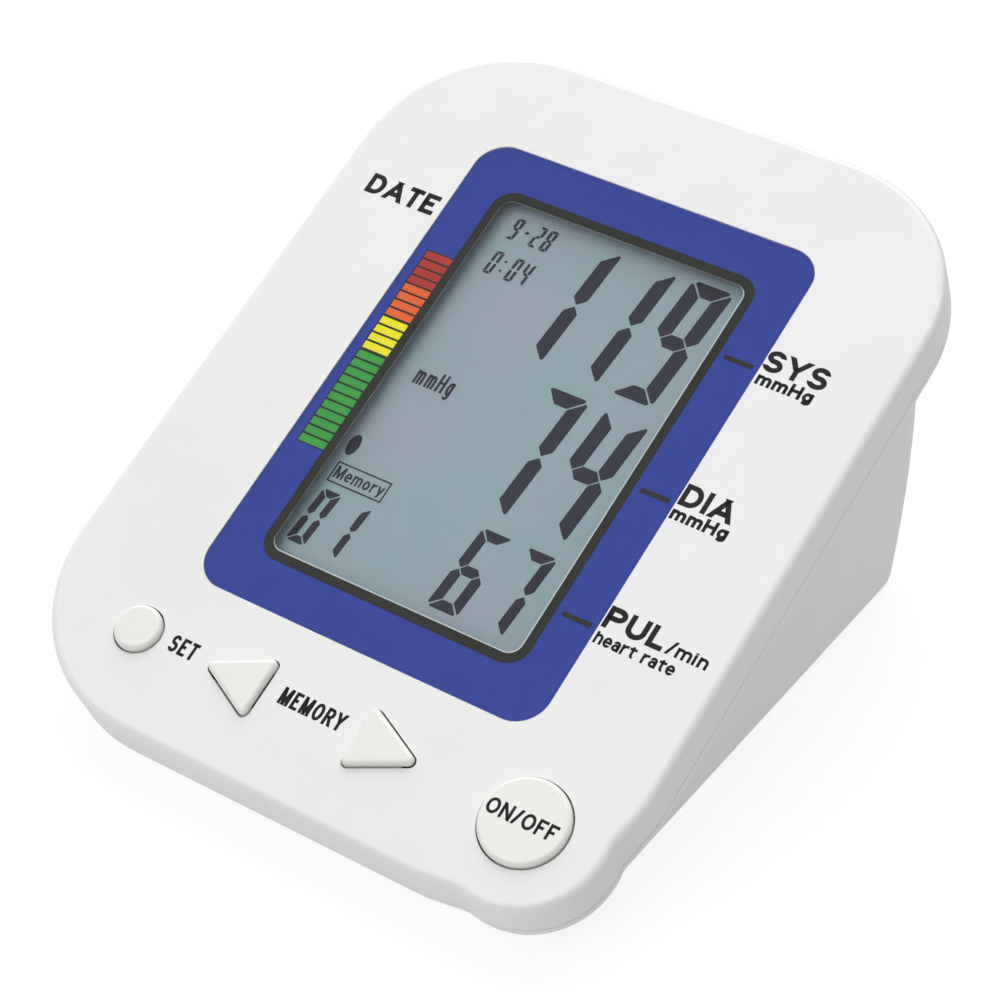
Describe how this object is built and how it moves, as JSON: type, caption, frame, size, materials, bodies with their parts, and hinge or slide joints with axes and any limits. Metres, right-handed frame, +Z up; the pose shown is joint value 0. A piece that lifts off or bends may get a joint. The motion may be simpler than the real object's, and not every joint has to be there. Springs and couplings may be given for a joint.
{
  "type": "upper arm blood pressure monitor",
  "caption": "Desk blood pressure monitor: wedge case, tilted panel, tall segment display in a blue window, round and triangular keys, air socket, pump and cells inside.",
  "frame": {"origin": "on the table under the middle of the object's bounding box", "axes": "+X to the user's right, +Y to the back (longest extent), +Z up; the panel faces -Y and up"},
  "size_m": [0.112, 0.1324, 0.0709],
  "materials": {
    "white_case": "satin moulded ABS",
    "white_button": "satin moulded ABS",
    "window_lens": "clear acrylic, printed blue and black behind",
    "display_glass": "grey reflective liquid crystal glass",
    "inner_plastic": "moulded plastic",
    "black_plastic": "moulded plastic",
    "elastomer": "layered conductive rubber",
    "circuit_board": "solder mask",
    "chip_black": "epoxy",
    "bright_metal": "nickel plated",
    "magnet": "ferrite",
    "copper_winding": "enamelled copper wire",
    "clear_hose": "silicone",
    "grey_rubber": "moulded rubber",
    "foam": "closed-cell foam",
    "wire_insulation": "PVC",
    "cell_wrap": "printed sleeve"
  },
  "bodies": {
    "case": {"air_manifold": "inner_plastic", "air_socket": "black_plastic", "battery_cells": "cell_wrap", "battery_contacts": "bright_metal", "battery_leads": "wire_insulation", "battery_springs": "bright_metal", "bleed_valve": "grey_rubber", "board_screws": "bright_metal", "bottom_cover": "white_case", "buzzer": "black_plastic", "capacitors": "chip_black", "case_screws": "bright_metal", "clock_crystal": "bright_metal", "display_glass": "display_glass", "display_holder": "inner_plastic", "display_reflector": "bright_metal", "display_window": "window_lens", "elastomer_connectors": "elastomer", "feet": "grey_rubber", "main_board": "circuit_board", "memory_chip": "chip_black", "motor_can": "bright_metal", "motor_leads": "wire_insulation", "motor_magnets": "magnet", "pressure_sensor": "inner_plastic", "processor_chip": "chip_black", "pump_cap": "black_plastic", "pump_diaphragm": "grey_rubber", "pump_foam_sleeve": "foam", "pump_hose": "clear_hose", "pump_housing": "black_plastic", "sensor_hose": "clear_hose", "socket_hose": "clear_hose", "switch_bodies": "black_plastic", "top_cover": "white_case", "valve_coil": "copper_winding", "valve_hose": "clear_hose", "valve_leads": "wire_insulation", "valve_seat": "black_plastic", "valve_spring": "bright_metal", "valve_yoke": "bright_metal"},
    "power": {"power_button": "white_button", "power_switch_stem": "black_plastic"},
    "set": {"set_button": "white_button", "set_switch_stem": "black_plastic"},
    "memory_back": {"memory_back_button": "white_button", "memory_back_switch_stem": "black_plastic"},
    "memory_next": {"memory_next_button": "white_button", "memory_next_switch_stem": "black_plastic"},
    "pump_drive": {"pump_rotor": "bright_metal"},
    "valve_core": {"valve_plunger": "bright_metal"},
    "door": {"battery_door": "white_case"}
  },
  "joints": [
    {"name": "power_press", "type": "slide", "parent": "case", "child": "power", "axis": [0, 0.4305, -0.9026], "range_m": [0, 0.0005], "stiffness_N_per_m": 1200, "springref_m": -0.0008},
    {"name": "set_press", "type": "slide", "parent": "case", "child": "set", "axis": [0, 0.4305, -0.9026], "range_m": [0, 0.0005], "stiffness_N_per_m": 1200, "springref_m": -0.0008},
    {"name": "memory_back_press", "type": "slide", "parent": "case", "child": "memory_back", "axis": [0, 0.4305, -0.9026], "range_m": [0, 0.0005], "stiffness_N_per_m": 1200, "springref_m": -0.0008},
    {"name": "memory_next_press", "type": "slide", "parent": "case", "child": "memory_next", "axis": [0, 0.4305, -0.9026], "range_m": [0, 0.0005], "stiffness_N_per_m": 1200, "springref_m": -0.0008},
    {"name": "pump_spin", "type": "hinge", "parent": "case", "child": "pump_drive", "pos_m": [0.01, 0.0358, 0.0332], "axis": [1, 0, 0], "continuous": true},
    {"name": "valve_lift", "type": "slide", "parent": "case", "child": "valve_core", "axis": [0, 0, 1], "range_m": [0, 0.0012], "stiffness_N_per_m": 300, "springref_m": -0.0015, "deforming": ["valve_spring"]},
    {"name": "door_swing", "type": "hinge", "parent": "case", "child": "door", "pos_m": [0, -0.00505, 0.001], "axis": [-1, 0, 0], "range_deg": [0, 70]}
  ]
}
